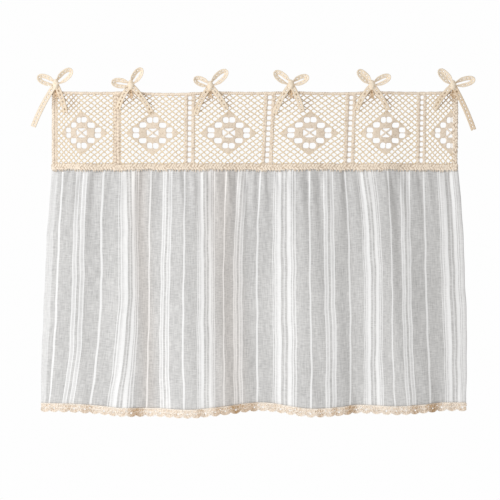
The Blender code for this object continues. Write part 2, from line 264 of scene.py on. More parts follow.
lace_step = 0.0012
lace_columns = int((FLAT_RIGHT - FLAT_LEFT) / lace_step) + 3
lace_rows = int(HEADING_DROP / lace_step) + 3
grid_x = FLAT_LEFT + (np.arange(lace_columns) - 1) * lace_step
grid_z = -HEADING_DROP + (np.arange(lace_rows) - 1) * lace_step
flat_x, flat_z = np.meshgrid(grid_x, grid_z)
in_repeat = flat_x - REPEAT * np.round(flat_x / REPEAT)
from_middle = flat_z - MEDALLION_Z

# The medallion: a close diamond with holes round a crossed window, its edges along the net's strands
CELL_X = 0.00805
CELL_Z = 0.0061
MEDALLION_CELLS = 8
strand_pitch = 2 * CELL_X * CELL_Z / math.hypot(CELL_X, CELL_Z)


def wander(x, z):
    """How far handwork strays from its even pattern, across and up."""
    across = 0.0006 * np.sin(z * 260 + x * 31) + 0.0004 * np.sin(z * 97 - x * 173)
    upwards = 0.0005 * np.sin(x * 210 + z * 50) + 0.0004 * np.sin(x * 83 - z * 141)
    return across, upwards


stray_x, stray_z = wander(flat_x, flat_z)
over = (in_repeat + stray_x) / CELL_X
up = (from_middle + stray_z) / CELL_Z
close_in = (MEDALLION_CELLS - np.abs(over) - np.abs(up)) * strand_pitch / 2 + 0.0006
# Its holes: centre, half width, half height and corner radius, and the window in the middle
for hole_x, hole_z, half_x, half_z, corner in (
    (0.0070, 0.0288, 0.0071, 0.0064, 0.0056),
    (0.0070, -0.0284, 0.0071, 0.0064, 0.0056),
    (0.0240, 0.0172, 0.0088, 0.0058, 0.0048),
    (0.0240, -0.0172, 0.0088, 0.0058, 0.0048),
    (0.0408, 0.0058, 0.0080, 0.0058, 0.0050),
    (0.0408, -0.0058, 0.0080, 0.0058, 0.0050),
    (0.0, 0.0, 0.0146, 0.0100, 0.0080),
):
    round_x = np.abs(in_repeat + 0.7 * stray_x) - hole_x
    gap = box_gap(round_x, from_middle + 0.7 * stray_z - hole_z, half_x, half_z, corner)
    close_in = np.minimum(close_in, gap)
stitch_row = 2 * np.pi * (up * CELL_Z / 0.0052 + 0.25)
stitch_post = 2 * np.pi * (over * CELL_X / 0.0034 + 0.5 * np.sign(np.sin(stitch_row)) * 0.5)
stitches = 0.6 * np.cos(stitch_post) + 0.4 * np.cos(2 * stitch_row)
lace_in = close_in
lace_half = rounded_half(close_in, 0.0020, 0.00105) * (1 + 0.26 * stitches)
# Painted shade between the stitches, paler on their raised posts and rows
lace_painted_shade = 0.42 - 0.42 * stitches

# Ladders of square holes between the medallions, the first one folded shut, and close borders all round
LADDER_HALF = 0.0112
LADDER_HOLES = 13
TOP_BRAID = 0.007
FOOT_BRAID = 0.014
SIDE_BRAID = 0.009
RIGHT_BRAID = 0.018
ladder_from = np.abs(np.abs(in_repeat) - REPEAT / 2)
shut = np.abs(flat_x - REPEAT / 2) < REPEAT / 4
ladder_pitch = (HEADING_DROP - TOP_BRAID - FOOT_BRAID) / LADDER_HOLES
rung = (flat_z + HEADING_DROP - FOOT_BRAID) / ladder_pitch - 0.5
square = box_gap(ladder_from, (rung - np.round(rung)) * ladder_pitch, 0.0045, 0.0043, 0.0030)
ladder_in = LADDER_HALF + 0.0010 - ladder_from
ladder_in = np.where(shut, ladder_in, np.minimum(ladder_in, square))
border_in = np.maximum.reduce((
    flat_z + TOP_BRAID,
    FOOT_BRAID - HEADING_DROP - flat_z,
    FLAT_LEFT + SIDE_BRAID - flat_x,
    flat_x - FLAT_RIGHT + RIGHT_BRAID,
))
# Painted shade: blotches over the shut ladder as if it were crumpled, though its sheet stays flat, and
# darker borders, as if in shade under their plaits
crumple_shade = np.sin(flat_z * 760 + 3 * np.sin(flat_z * 210)) * np.cos(ladder_from * 900 + flat_z * 330)
ladder_painted_shade = np.where(shut, 0.50 + 0.9 * crumple_shade, 0.42)
for part_in, part_painted_shade in ((ladder_in, ladder_painted_shade), (border_in, 0.74)):
    lace_half = np.where(part_in > lace_in, rounded_half(part_in, 0.002, 0.0008), lace_half)
    lace_painted_shade = np.where(part_in > lace_in, part_painted_shade, lace_painted_shade)
    lace_in = np.maximum(lace_in, part_in)
ends_in = np.minimum.reduce((-flat_z, flat_z + HEADING_DROP, flat_x - FLAT_LEFT, FLAT_RIGHT - flat_x))
outline_in = ends_in - 0.0012 + 0.0006 * np.sin(flat_x * 870 + 2 * np.sin(flat_x * 61))
lace_in = np.minimum(lace_in, outline_in)
lace_half = np.minimum(lace_half, rounded_half(np.maximum(outline_in, 0), 0.0015, 0.0012)) + 0.00012


def add_node(look, kind, inputs, **settings):
    """A node of a material, with its settings, and a value or another node's output at each input."""
    tree = look.node_tree
    node = tree.nodes.new("ShaderNode" + kind)
    for setting, value in settings.items():
        setattr(node, setting, value)
    for socket, value in inputs.items():
        if isinstance(value, bpy.types.NodeSocket):
            tree.links.new(value, node.inputs[socket])
        else:
            node.inputs[socket].default_value = value
    return node


def maths(look, operation, *values):
    """The result of an operation on values or outputs."""
    return add_node(look, "Math", dict(enumerate(values)), operation=operation).outputs["Value"]


def mix(look, factor, first, second, blend="MIX"):
    """The colour between two others at this factor."""
    inputs = {"Factor": factor, "A": first, "B": second}
    return add_node(look, "Mix", inputs, data_type="RGBA", blend_type=blend).outputs["Result"]


def noise(look, inputs, low, high, most=1.0):
    """Cloudy noise, and the same spread so that low becomes 0 and high becomes most."""
    clouds = add_node(look, "TexNoise", inputs).outputs["Fac"]
    spread = {"Value": clouds, "From Min": low, "From Max": high, "To Max": most}
    return clouds, add_node(look, "MapRange", spread).outputs["Result"]


def cotton_surface(name, roughness, sheen, fuzz):
    """A dull surface with the soft sheen of cotton, before it gets its colour."""
    look = bpy.data.materials.new(name)
    look.use_nodes = True
    shader = look.node_tree.nodes["Principled BSDF"]
    shader.inputs["Roughness"].default_value = roughness
    shader.inputs["Specular IOR Level"].default_value = 0.2
    shader.inputs["Sheen Weight"].default_value = sheen
    shader.inputs["Sheen Roughness"].default_value = fuzz
    return look


def finish_cotton(look, colour, threads, strength, distance):
    """Gives a cotton surface its colour and its raised threads."""
    shader = look.node_tree.nodes["Principled BSDF"]
    bump = add_node(look, "Bump", {"Height": threads, "Strength": strength, "Distance": distance})
    look.node_tree.links.new(colour, shader.inputs["Base Color"])
    look.node_tree.links.new(bump.outputs["Normal"], shader.inputs["Normal"])


def cotton(name, pale, tan, ply):
    """Crochet cotton: cream thread mottled with tan, with painted shade in tan in its pits, fuzzy and
    twisted in small plies.
    """
    look = cotton_surface(name, roughness=0.92, sheen=0.25, fuzz=0.6)
    where = add_node(look, "TexCoord", {}).outputs["Object"]
    painted_shade = add_node(look, "Attribute", {}, attribute_name="painted_shade").outputs["Fac"]
    fine = {"Vector": where, "Scale": 210.0, "Detail": 3.0, "Roughness": 0.7}
    mottle, fleck = noise(look, fine, 0.50, 0.66)
    _, patch = noise(look, {"Vector": where, "Scale": 34.0, "Detail": 2.0}, 0.35, 0.75, 0.09)
    # Painted shade from the point attribute turns the thread tan, on top of random patches and flecks
    pits = maths(look, "MULTIPLY_ADD", painted_shade, 0.58, patch)
    tone = add_node(look, "Math", {0: fleck, 1: 0.22, 2: pits}, operation="MULTIPLY_ADD", use_clamp=True)
    colour = mix(look, tone.outputs["Value"], (*pale, 1.0), (*tan, 1.0))
    twist = {"Vector": where, "Scale": ply, "Distortion": 3.0, "Detail": 2.0}
    plies = add_node(look, "TexWave", twist, bands_direction="DIAGONAL").outputs["Fac"]
    finish_cotton(look, colour, maths(look, "ADD", plies, mottle), strength=0.5, distance=0.0004)
    return look


lace_cotton = cotton("cream crochet cotton", (1.0, 0.895, 0.765), (0.35, 0.225, 0.12), 160.0)


def lace_place(column, row, lift):
    """Points of the heading at these columns and rows of its grid."""
    return hang_lace(FLAT_LEFT + (column - 1) * lace_step, -HEADING_DROP + (row - 1) * lace_step, lift)


points, faces, painted_shade, flat = closed_sheet(lace_in, lace_half, lace_painted_shade, lace_place)
# Painted shade round the knots and painted shadow of the ties' hanging ends
painted_shade += 0.35 * knot_painted_shade(points) + 0.55 * behind_ties(points)
heading_cut = (flat[0] * lace_step, flat[1] * lace_step)
heading = make_piece("crochet_heading", points, faces, lace_cotton, painted_shade, heading_cut)
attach(heading, "root")
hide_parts("lace_heading")


# Net of the heading: single strands that slant both ways and pass over and under one another, the ones
# along a medallion's edge stouter, all ending in the borders, the ladders and the medallions.
NET_STEP = 0.00135
NET_SIDES = 5
NET_THREAD = 0.00132
STOUT_THREAD = 0.00150
# How far the strands run into the borders and the ladders
RUN_IN = 0.0015
net_cotton = cotton("cream net cotton", (0.955, 0.815, 0.595), (0.37, 0.215, 0.09), 170.0)


def unit(vectors):
    """The same directions, each of length one."""
    return vectors / np.linalg.norm(vectors, axis=-1, keepdims=True)


def ropes(threads, sides):
    """Points and faces of round threads closed at both ends, how far each point faces back, and its raise.

    Each thread has its path, its radius and how far it is raised, for the whole of it or for each point.
    """
    points = []
    faces = []
    facing = []
    raised = []
    turns = 2 * np.pi * np.arange(sides) / sides
    first = 0
    for path, radius, height in threads:
        along = unit(np.gradient(path, axis=0))
        side = unit(np.cross(along, (0.0, 1.0, 0.0)))
        out = np.cross(side, along)
        spoke = side[:, None] * np.cos(turns)[None, :, None] + out[:, None] * np.sin(turns)[None, :, None]
        count = len(path)
        ring = path[:, None] + np.broadcast_to(radius, count)[:, None, None] * spoke
        points.append(ring.reshape(-1, 3))
        facing.append(spoke[:, :, 1].ravel())
        raised.append(np.broadcast_to(height, count).repeat(sides))
        index = first + np.arange(count * sides).reshape(count, sides)
        after = np.roll(index, -1, axis=1)
        quads = np.stack((index[:-1], after[:-1], after[1:], index[1:]), axis=-1).reshape(-1, 4)
        faces += quads.tolist()
        faces.append(index[0][::-1].tolist())
        faces.append(index[-1].tolist())
        first += count * sides
    return np.concatenate(points), faces, np.concatenate(facing), np.concatenate(raised)


threads = []
top_row = (-TOP_BRAID + RUN_IN - MEDALLION_Z) / CELL_Z
foot_row = (FOOT_BRAID - RUN_IN - HEADING_DROP - MEDALLION_Z) / CELL_Z
steps = int((top_row - foot_row) * math.hypot(CELL_X, CELL_Z) / NET_STEP)
up = np.linspace(foot_row, top_row, steps + 1)
for medallion in range(6):
    middle = REPEAT * medallion
    reach_left = max(FLAT_LEFT + SIDE_BRAID - middle - RUN_IN, LADDER_HALF - RUN_IN - REPEAT / 2)
    reach_right = min(FLAT_RIGHT - RIGHT_BRAID - middle + RUN_IN, REPEAT / 2 - LADDER_HALF + RUN_IN)
    for slant in (-1, 1):
        for line in range(-40, 41, 2):
            over = line - slant * up
            between = (over > reach_left / CELL_X) & (over < reach_right / CELL_X)
            outside = np.abs(over) + np.abs(up) > MEDALLION_CELLS - 0.12
            runs = np.flatnonzero(np.diff(np.concatenate(((False,), between & outside, (False,)))))
            for begin, end in zip(runs[::2], runs[1::2]):
                if end - begin < 3:
                    continue
                run_up = up[begin:end]
                run_over = over[begin:end]
                flat_x = middle + run_over * CELL_X
                flat_z = MEDALLION_Z + run_up * CELL_Z
                stray_x, stray_z = wander(flat_x, flat_z)
                crossed = (run_over - slant * run_up) / 2
                lift = 0.00055 * slant * np.cos(np.pi * crossed) * np.cos(np.pi * line / 2)
                stout = run_over * run_up * slant > 0
                bead = 0.55 * np.cos(4 * np.pi * crossed) + 0.45 * np.cos(2 * np.pi * crossed)
                radius = np.where(stout, STOUT_THREAD, NET_THREAD) * (1 + 0.22 * bead)
                threads.append((hang_lace(flat_x - stray_x, flat_z - stray_z, lift), radius, bead))
points, faces, facing, bead = ropes(threads, NET_SIDES)
# Painted shade on the threads' sides and between their beads, round the knots and in the shadow of the ties
shaded = 0.5 * knot_painted_shade(points) + 0.75 * behind_ties(points)
painted_shade = 0.50 - 0.30 * bead - 0.50 * np.abs(facing) + shaded
net = make_piece("heading_net", points, faces, net_cotton, painted_shade)
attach(net, "root")
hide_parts("lace_heading")


# Plaits and threads of the heading: three-strand plaits work its top, foot and sides and both rails
# of each ladder, and single threads cross every medallion's window and part its paired holes.
PLAIT_SIDES = 6
RAIL_APART = 0.0085
SHUT_RAIL_APART = 0.0052
STITCH_PITCH = 0.0063


def plait(start, end, half_width, half_depth, pitch, radius):
    """Three strands that pass over and under one another, from start to end of the flat lace."""
    start = np.array(start)
    end = np.array(end)
    length = np.linalg.norm(end - start)
    along = (end - start) / length
    across = np.array((-along[1], along[0]))
    steps = max(4, int(length / pitch * 12))
    travelled = np.linspace(0.0, length, steps + 1)
    stray = 0.6 * np.sin(travelled * 90) + 0.5 * np.sin(travelled * 37 + 2) + 0.5 * np.sin(travelled * 231)
    knobs = 1 + 0.16 * np.sin(travelled * 2 * np.pi / pitch * 2.7 + 1.3 * np.sin(travelled * 53))
    strands = []
    for strand in range(3):
        turn = 2 * np.pi * (travelled / pitch + strand / 3) + stray
        sideways = half_width * np.sin(turn) * (1 + 0.18 * np.sin(travelled * 310 + strand * 2.1))
        over_under = half_depth * np.sin(2 * turn)
        place = start + along * travelled[:, None] + across * sideways[:, None]
        strand_path = hang_lace(place[:, 0], place[:, 1], over_under)
        strands.append((strand_path, radius * knobs, over_under / half_depth))
    return strands


foot_plait_z = 0.0070 - HEADING_DROP
# Each plait: start and end on the flat lace, half its width and depth, its pitch, its strands' radius.
# The top, foot, left and right ones come first, then two for every ladder
plaits = [
    ((FLAT_LEFT, -0.0034), (FLAT_RIGHT, -0.0034), 0.0020, 0.0010, 0.0115, 0.00135),
    ((FLAT_LEFT, foot_plait_z), (FLAT_RIGHT, foot_plait_z), 0.0046, 0.0009, 0.0215, 0.0021),
    ((FLAT_LEFT + 0.0045, -HEADING_DROP), (FLAT_LEFT + 0.0045, 0.0), 0.0028, 0.0011, 0.0140, 0.0017),
    ((FLAT_RIGHT - 0.0095, -HEADING_DROP), (FLAT_RIGHT - 0.0075, 0.0), 0.0062, 0.0014, 0.0210, 0.0024),
]
for ladder in range(5):
    middle = REPEAT * (ladder + 0.5)
    for side in (-1, 1):
        rail = middle + side * (RAIL_APART if ladder else SHUT_RAIL_APART)
        plaits.append(((rail, 0.012 - HEADING_DROP), (rail, -0.005), 0.0023, 0.0012, 0.0094, 0.00150))
threads = []
for number, row in enumerate(plaits):
    for strand, (path, radius, over_under) in enumerate(plait(*row)):
        height = path[:, 2]
        if number >= 4:
            # Painted shade in a pit at every rung of a ladder, and in closer, deeper ones in the ladder
            # that is shut
            spacing, pits = (ladder_pitch, (1.3, 0.0, 0.4)) if number >= 6 else (0.0083, (2.2, 0.8, 1.6))
            rise = (height + HEADING_DROP - FOOT_BRAID) / spacing + 0.3 * (number % 2)
            near_pit = np.exp(-(((rise - np.round(rise)) / 0.15) ** 2))
            over_under = over_under - 0.35 - pits[strand] * near_pit
        elif number >= 2:
            # Painted shade in pits that sink into the side plaits now and then
            turn = (0.0, 2.1, 4.2)[strand]
            sunk = np.maximum(np.sin(height * 780 + 2 * np.sin(height * 130) + turn), 0.0) ** 3
            over_under = over_under - 1.1 * sunk
        threads.append((path, radius, over_under))
# Threads of a medallion, from its centre: the window's cross and its knot, and those that part the holes
MEDALLION_THREADS = (
    ((-0.0150, 0.0102), (0.0150, -0.0102), 0.0019),
    ((-0.0150, -0.0102), (0.0150, 0.0102), 0.0019),
    ((0.0, -0.0026), (0.0, 0.0026), 0.0030),
    ((0.0, 0.0225), (0.0, 0.0355), 0.0007),
    ((0.0, -0.0350), (0.0, -0.0220), 0.0007),
    ((-0.0515, 0.0), (-0.0305, 0.0), 0.0007),
    ((0.0305, 0.0), (0.0515, 0.0), 0.0007),
)
share = np.linspace(0.0, 1.0, 9)
for medallion in range(6):
    middle = REPEAT * medallion
    for start, end, radius in MEDALLION_THREADS:
        thread_x = middle + start[0] + (end[0] - start[0]) * share
        thread_z = MEDALLION_Z + start[1] + (end[1] - start[1]) * share
        if thread_x.min() > FLAT_RIGHT - 0.012:
            continue
        path = hang_lace(thread_x, thread_z, 0.0004 * np.sin(np.pi * share))
        # The thin threads that part the holes get more painted shade than the window's cross, as if they
        # lay deeper
        threads.append((path, radius, 0.25 if radius > 0.001 else -0.5))
# Slanted stitches sew the foot down onto the cloth
share = np.linspace(0.0, 1.0, 5)
for stitch in range(int((FLAT_RIGHT - FLAT_LEFT) / STITCH_PITCH)):
    unevenly = stitch + 0.5 + 0.22 * math.sin(stitch * 2.4) + 0.15 * math.sin(stitch * 5.1)
    start_x = FLAT_LEFT + STITCH_PITCH * unevenly
    reach = 0.0052 + 0.0008 * math.sin(stitch * 1.7)
    stitch_x = start_x + 0.0018 * share
    stitch_z = 0.0030 - HEADING_DROP - reach * share
    threads.append((hang_lace(stitch_x, stitch_z, 0.0015 - 0.0025 * share**2), 0.0010, 0.7 - 0.3 * share))
points, faces, facing, above = ropes(threads, PLAIT_SIDES)
x, _, z = points.T
# Painted shade in scattered blotches, round the knots and in the ties' shadow, and on strands where they
# pass under others
pit_shade = np.sin(x * 1130 + 3 * np.sin(x * 170)) * np.sin(x * 740 + z * 900)
above = above + 0.22 - 1.75 * np.maximum(pit_shade, 0.0) ** 2 - 0.9 * knot_painted_shade(points)
painted_shade = 0.50 - 0.45 * above - 0.25 * np.abs(facing) + 0.5 * behind_ties(points)
braids = make_piece("heading_plaits", points, faces, lace_cotton, painted_shade)
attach(braids, "root")
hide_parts("lace_heading")


# Cloth: one width of thin cotton woven in pale stripes on grey, with a narrow hem down each side. Its
# top is gathered lightly onto the back of the heading's foot, and it falls in broad, uneven folds.
CLOTH_THICKNESS = 0.0012
CLOTH_FOOT = -0.696
LAP = 0.006
STRIPE_REPEAT = 0.222
# Where stripes hang: repeats of the stripes from the left edge, and x at five levels down the cloth
STRIPE_ROWS = np.array([
    (-0.03, -0.4510, -0.4606, -0.4672, -0.4730, -0.4752),
    (0.08, -0.4270, -0.4344, -0.4404, -0.4461, -0.4572),
    (0.30, -0.3843, -0.3915, -0.3941, -0.3986, -0.4166),
    (0.68, -0.3015, -0.3036, -0.3019, -0.3120, -0.3283),
    (0.765, -0.2860, -0.2829, -0.2814, -0.2904, -0.3085),
    (0.84, -0.2727, -0.2718, -0.2702, -0.2787, -0.2937),
    (0.92, -0.2585, -0.2612, -0.2591, -0.2644, -0.2739),
    (1.30, -0.1935, -0.1956, -0.2000, -0.2017, -0.1987),
    (1.80, -0.1089, -0.1084, -0.1071, -0.1067, -0.1073),
    (2.30, -0.0268, -0.0355, -0.0390, -0.0389, -0.0367),
    (2.80, 0.0659, 0.0650, 0.0650, 0.0672, 0.0655),
    (3.30, 0.1626, 0.1639, 0.1659, 0.1684, 0.1678),
    (3.80, 0.2450, 0.2597, 0.2638, 0.2634, 0.2651),
    (4.30, 0.3333, 0.3343, 0.3363, 0.3390, 0.3455),
    (4.80, 0.4270, 0.4355, 0.4401, 0.4443, 0.4463),
    (4.96, 0.4519, 0.4630, 0.4677, 0.4714, 0.4703),
])
STRIPE_LEVELS = np.array((0.0, 0.25, 0.5, 0.75, 1.0))


def cloth_x(repeats, level):
    """X of the threads at these repeats, at one level between the seam, 0, and the hem, 1."""
    hung = [curve_through(np.array(level), STRIPE_LEVELS, row[1:]) for row in STRIPE_ROWS]
    straight = curve_through(repeats, STRIPE_ROWS[:, 0], np.array([float(x) for x in hung]))
    waver = np.sin(17 * level + 9 * repeats) * np.sin(6.3 * level + 4 * repeats)
    waver = waver + 0.5 * np.sin(41 * level + 5.7 * repeats)
    return straight + 0.0008 * min(1.0, 4 * level) * waver


def thread_at(x, level):
    """The seam x of the fold that passes through x at this level."""
    hung = SEAM_X + (HEM_X - SEAM_X) * level**0.6
    return np.interp(x, hung, SEAM_X)


# Small creases that start under the seam: x at the seam, x where they fade, level there, width, depth
CREASES = (
    (-0.432, -0.444, 0.30, 0.006, 0.0016),
    (-0.402, -0.407, 0.22, 0.005, -0.0014),
    (-0.361, -0.366, 0.36, 0.007, 0.0018),
    (-0.322, -0.322, 0.20, 0.005, -0.0015),
    (-0.258, -0.250, 0.72, 0.010, 0.0034),
    (-0.236, -0.240, 0.34, 0.006, -0.0016),
    (-0.207, -0.206, 0.24, 0.005, 0.0014),
    (-0.133, -0.131, 0.28, 0.006, -0.0016),
    (-0.088, -0.078, 0.55, 0.009, 0.0024),
    (-0.060, -0.066, 0.30, 0.005, -0.0017),
    (-0.012, -0.026, 0.48, 0.008, 0.0022),
    (0.020, 0.016, 0.26, 0.005, -0.0014),
    (0.052, 0.050, 0.22, 0.005, 0.0013),
    (0.104, 0.108, 0.30, 0.006, -0.0015),
    (0.143, 0.146, 0.42, 0.007, 0.0020),
    (0.206, 0.224, 0.66, 0.009, 0.0030),
    (0.222, 0.236, 0.30, 0.005, -0.0018),
    (0.246, 0.258, 0.24, 0.005, 0.0014),
    (0.292, 0.302, 0.30, 0.006, -0.0016),
    (0.316, 0.326, 0.74, 0.0075, 0.0042),
    (0.348, 0.350, 0.26, 0.005, -0.0017),
    (0.384, 0.388, 0.32, 0.006, 0.0015),
    (0.404, 0.412, 0.24, 0.005, -0.0014),
    (0.437, 0.448, 0.55, 0.008, 0.0022),
)


def cloth_point(x, level):
    """Points of the cloth's middle surface at these x, at one level."""
    thread = thread_at(x, level)
    behind = LACE_HALF + CLOTH_THICKNESS / 2 + 0.0004
    seam = curve_through(thread, SEAM_X, SEAM_DEPTH) + behind
    hem = curve_through(thread, SEAM_X, HEM_DEPTH)
    phase = 2 * np.pi * thread / 0.029 + 3.0 * np.sin(11.0 * thread)
    swell = level / 0.07 * math.exp(1 - level / 0.07)
    y = seam + (hem - seam) * level**0.7 + 0.0020 * (1 + np.sin(phase)) * swell
    if level > 0:
        fine = 2 * np.pi * thread / 0.0125 + 2.3 * np.sin(23.0 * thread)
        y = y + 0.0007 * (1 + np.sin(fine)) * level / 0.035 * math.exp(1 - level / 0.035)
        for seam_x, end_x, reach, width, depth in CREASES:
            if level < reach:
                middle = seam_x + (end_x - seam_x) * level / reach
                grow = math.sin(math.pi * (level / reach) ** 0.55)
                spread = width * (1 + 0.8 * level / reach)
                y = y + depth * grow * np.exp(-(((x - middle) / spread) ** 2))
        y = y + 0.0007 * level * np.sin(150 * thread + 4 * np.sin(3 * level) + 1.0)
    foot = CLOTH_FOOT - curve_through(thread, SEAM_X, HEM_LONGER)
    z = -HEADING_DROP + (foot + HEADING_DROP) * level
    return np.stack((x, y, z), axis=-1)


cloth_columns = 340
cloth_rows = 118
repeats_across = np.linspace(STRIPE_ROWS[0, 0], STRIPE_ROWS[-1, 0], cloth_columns + 1)
levels = (np.arange(cloth_rows + 1) / cloth_rows) ** 1.25
rows = []
seam_row = cloth_point(cloth_x(repeats_across, 0.0), 0.0)
for lap in (LAP, LAP / 2):
    raised = seam_row + np.array((0.0, 0.0, lap))
    raised[:, 1] += lace_depth(raised[:, 0], raised[:, 2]) - lace_depth(seam_row[:, 0], seam_row[:, 2])
    rows.append(raised)
rows += [cloth_point(cloth_x(repeats_across, level), level) for level in levels]
surface = np.array(rows)
down_cloth = np.concatenate(((-LAP, -LAP / 2), levels * (-HEADING_DROP - CLOTH_FOOT)))
across_surface = np.gradient(surface, axis=1)
down_surface = np.gradient(surface, axis=0)
outward = unit(np.cross(across_surface, down_surface))
outward *= np.where(outward[:, :, 1:2] > 0, -1.0, 1.0)
front = (surface + outward * CLOTH_THICKNESS / 2).reshape(-1, 3)
back = (surface - outward * CLOTH_THICKNESS / 2).reshape(-1, 3)
sheet_rows, sheet_columns = surface.shape[:2]
index = np.arange(sheet_rows * sheet_columns).reshape(sheet_rows, sheet_columns)
quads = np.stack((index[:-1, :-1], index[1:, :-1], index[1:, 1:], index[:-1, 1:]), axis=-1).reshape(-1, 4)
faces = quads.tolist() + (quads[:, ::-1] + index.size).tolist()
rim = np.concatenate((index[0, :-1], index[:-1, -1], index[-1, :0:-1], index[:0:-1, 0]))
after = np.roll(rim, -1)
faces += np.stack((rim, after, after + index.size, rim + index.size), axis=-1).tolist()
cut_x = np.tile(np.tile(repeats_across * STRIPE_REPEAT, sheet_rows), 2)
cut_z = np.tile(down_cloth.repeat(sheet_columns), 2)

woven = cotton_surface("striped cotton", roughness=0.88, sheen=0.2, fuzz=0.5)
cut = add_node(woven, "UVMap", {}, uv_map="cut").outputs["UV"]
across = add_node(woven, "SeparateXYZ", {"Vector": cut}).outputs["X"]
# One repeat of the stripes, from one double stripe's middle to the next: place, and how pale from there
PALENESS = (
    (0.0130, 1.00), (0.0270, 0.50), (0.0470, 1.00), (0.0600, 0.00),
    (0.2100, 1.00), (0.2290, 0.00),
    (0.3755, 0.80), (0.3860, 0.05), (0.3975, 0.88), (0.4080, 0.45),
    (0.4190, 0.78), (0.4330, 1.00), (0.4640, 0.00),
    (0.4910, 0.55), (0.5070, 0.00), (0.5300, 0.85), (0.5400, 1.00), (0.5720, 0.25), (0.5830, 0.95),
    (0.5960, 0.10), (0.6100, 0.75), (0.6270, 0.00),
    (0.7710, 1.00), (0.7900, 0.00),
    (0.9400, 1.00), (0.9530, 0.50), (0.9730, 1.00), (0.9870, 0.08),
)
shifted = maths(woven, "MULTIPLY_ADD", across, 1 / STRIPE_REPEAT, 0.70)
stripes = add_node(woven, "ValToRGB", {"Fac": maths(woven, "FRACT", shifted)})
ramp = stripes.color_ramp
ramp.interpolation = "CONSTANT"
ramp.elements[0].color = (0.08, 0.08, 0.08, 1)
ramp.elements[1].position = 1.0
ramp.elements[1].color = (0.08, 0.08, 0.08, 1)
for begin, paleness in PALENESS:
    ramp.elements.new(begin).color = (paleness, paleness, paleness, 1)


def thread_noise(scale_x, scale_z, detail, low, high):
    """Streaks that run along the threads, between 0 and 1."""
    scaled = add_node(woven, "Mapping", {"Vector": cut, "Scale": (scale_x, scale_z, 1.0)}).outputs["Vector"]
    _, streaks = noise(woven, {"Vector": scaled, "Scale": 1.0, "Detail": detail}, low, high)
    return streaks


warp = thread_noise(450.0, 38.0, 4.0, 0.28, 0.72)
weft = thread_noise(70.0, 460.0, 4.0, 0.28, 0.72)
weave = maths(woven, "ADD", warp, weft)
clouded = maths(woven, "MULTIPLY", thread_noise(16.0, 5.0, 2.0, 0.3, 0.7), 0.16)
slub = maths(woven, "MULTIPLY_ADD", weave, 0.42, clouded)
ground = mix(woven, slub, (0.382, 0.385, 0.387, 1.0), (0.822, 0.825, 0.826, 1.0))
pale = mix(woven, slub, (0.82, 0.83, 0.84, 1.0), (0.97, 0.98, 0.99, 1.0))
# The side hems are turned in double, so the ground there is paler too
in_left = maths(woven, "LESS_THAN", across, 0.030 * STRIPE_REPEAT)
in_right = maths(woven, "GREATER_THAN", across, 4.905 * STRIPE_REPEAT)
doubled = maths(woven, "MULTIPLY", maths(woven, "ADD", in_left, in_right), 0.50)
palest = maths(woven, "MAXIMUM", doubled, stripes.outputs["Color"])
striped = mix(woven, palest, ground, pale)
# Painted shade from the point attribute tints the cloth a darker, warmer grey in two folds
warm_shade = add_node(woven, "Attribute", {}, attribute_name="warm_shade").outputs["Fac"]
shade_warmed = mix(woven, warm_shade, striped, (1.0, 0.965, 0.940, 1.0), blend="MULTIPLY")
finish_cotton(woven, shade_warmed, weave, strength=0.35, distance=0.0003)

cloth_points = np.concatenate((front, back))
# Painted shade: two folds are tinted a darker, warmer grey, as shade falls in them: x at the seam and width
fold_warm_shade = np.zeros(len(cloth_points))
for fold_x, width in ((-0.246, 0.020), (-0.062, 0.034)):
    drift = 0.010 * np.sin(cloth_points[:, 2] * 7)
    fold_warm_shade += np.exp(-(((cloth_points[:, 0] - fold_x - drift) / width) ** 2))
cloth = make_piece("gathered_cloth", cloth_points, faces, woven, fold_warm_shade, (cut_x, cut_z), attribute="warm_shade")
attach(cloth, "root")
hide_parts("cloth_panel")


# Hem trim: a narrow crochet edging sewn over the front of the cloth's hem. It has a chain along its top,
# a row of posts under it, and a fan of spokes edged with a chain in every scallop.
TRIM_THICKNESS = 0.0012
TRIM_HEIGHT = 0.017
TRIM_LAP = 0.003
TRIM_MARGIN = 0.0006
TRIM_CLEARANCE = 0.0011
TRIM_SIDES = 5
SCALLOPS = 45
SPOKES = 9
FAN_ROUND = 0.0150
FAN_TOP = -0.0052
trim_step = 0.00105


def way_along(path):
    """How far each point of a path is from its start."""
    return np.concatenate(((0.0,), np.cumsum(np.linalg.norm(np.diff(path, axis=0), axis=1))))


def read_along(at, travelled, values):
    """The points or directions of a path, read off at these distances from its start."""
    return np.stack([np.interp(at, travelled, values[:, axis]) for axis in range(3)], axis=-1)


hem_across = np.linspace(STRIPE_ROWS[0, 0], STRIPE_ROWS[-1, 0], 1501)
hem = cloth_point(cloth_x(hem_across, 1.0), 1.0)
travelled = way_along(hem[:, :2])
hem_length = float(travelled[-1])
hem_along = np.gradient(hem, travelled, axis=0)
hem_out = unit(np.stack((hem_along[:, 1], -hem_along[:, 0], np.zeros(len(hem))), axis=-1))
fan_pitch = hem_length / SCALLOPS
fans_along = travelled / fan_pitch + 0.10 * np.sin(travelled * 37)


def hang_trim(along, z, lift):
    """Points of the trim at these places along and below the hem, each lifted this far out of it."""
    forward = np.asarray(CLOTH_THICKNESS / 2 + TRIM_CLEARANCE + lift)
    placed = read_along(along, travelled, hem) + read_along(along, travelled, hem_out) * forward[..., None]
    placed[:, 2] += z
    return placed


def trim_edge(from_fan):
    """How low a scallop reaches at this distance from its middle."""
    return FAN_ROUND - TRIM_HEIGHT - np.sqrt(FAN_ROUND**2 - np.minimum(np.abs(from_fan), FAN_ROUND) ** 2)


def trim_turned_shade(along):
    """How much painted shade darkens the trim: more where a fold turns it away from the light."""
    return 2.15 * np.maximum(np.interp(along, travelled, hem_out[:, 0]) - 0.03, 0.0)


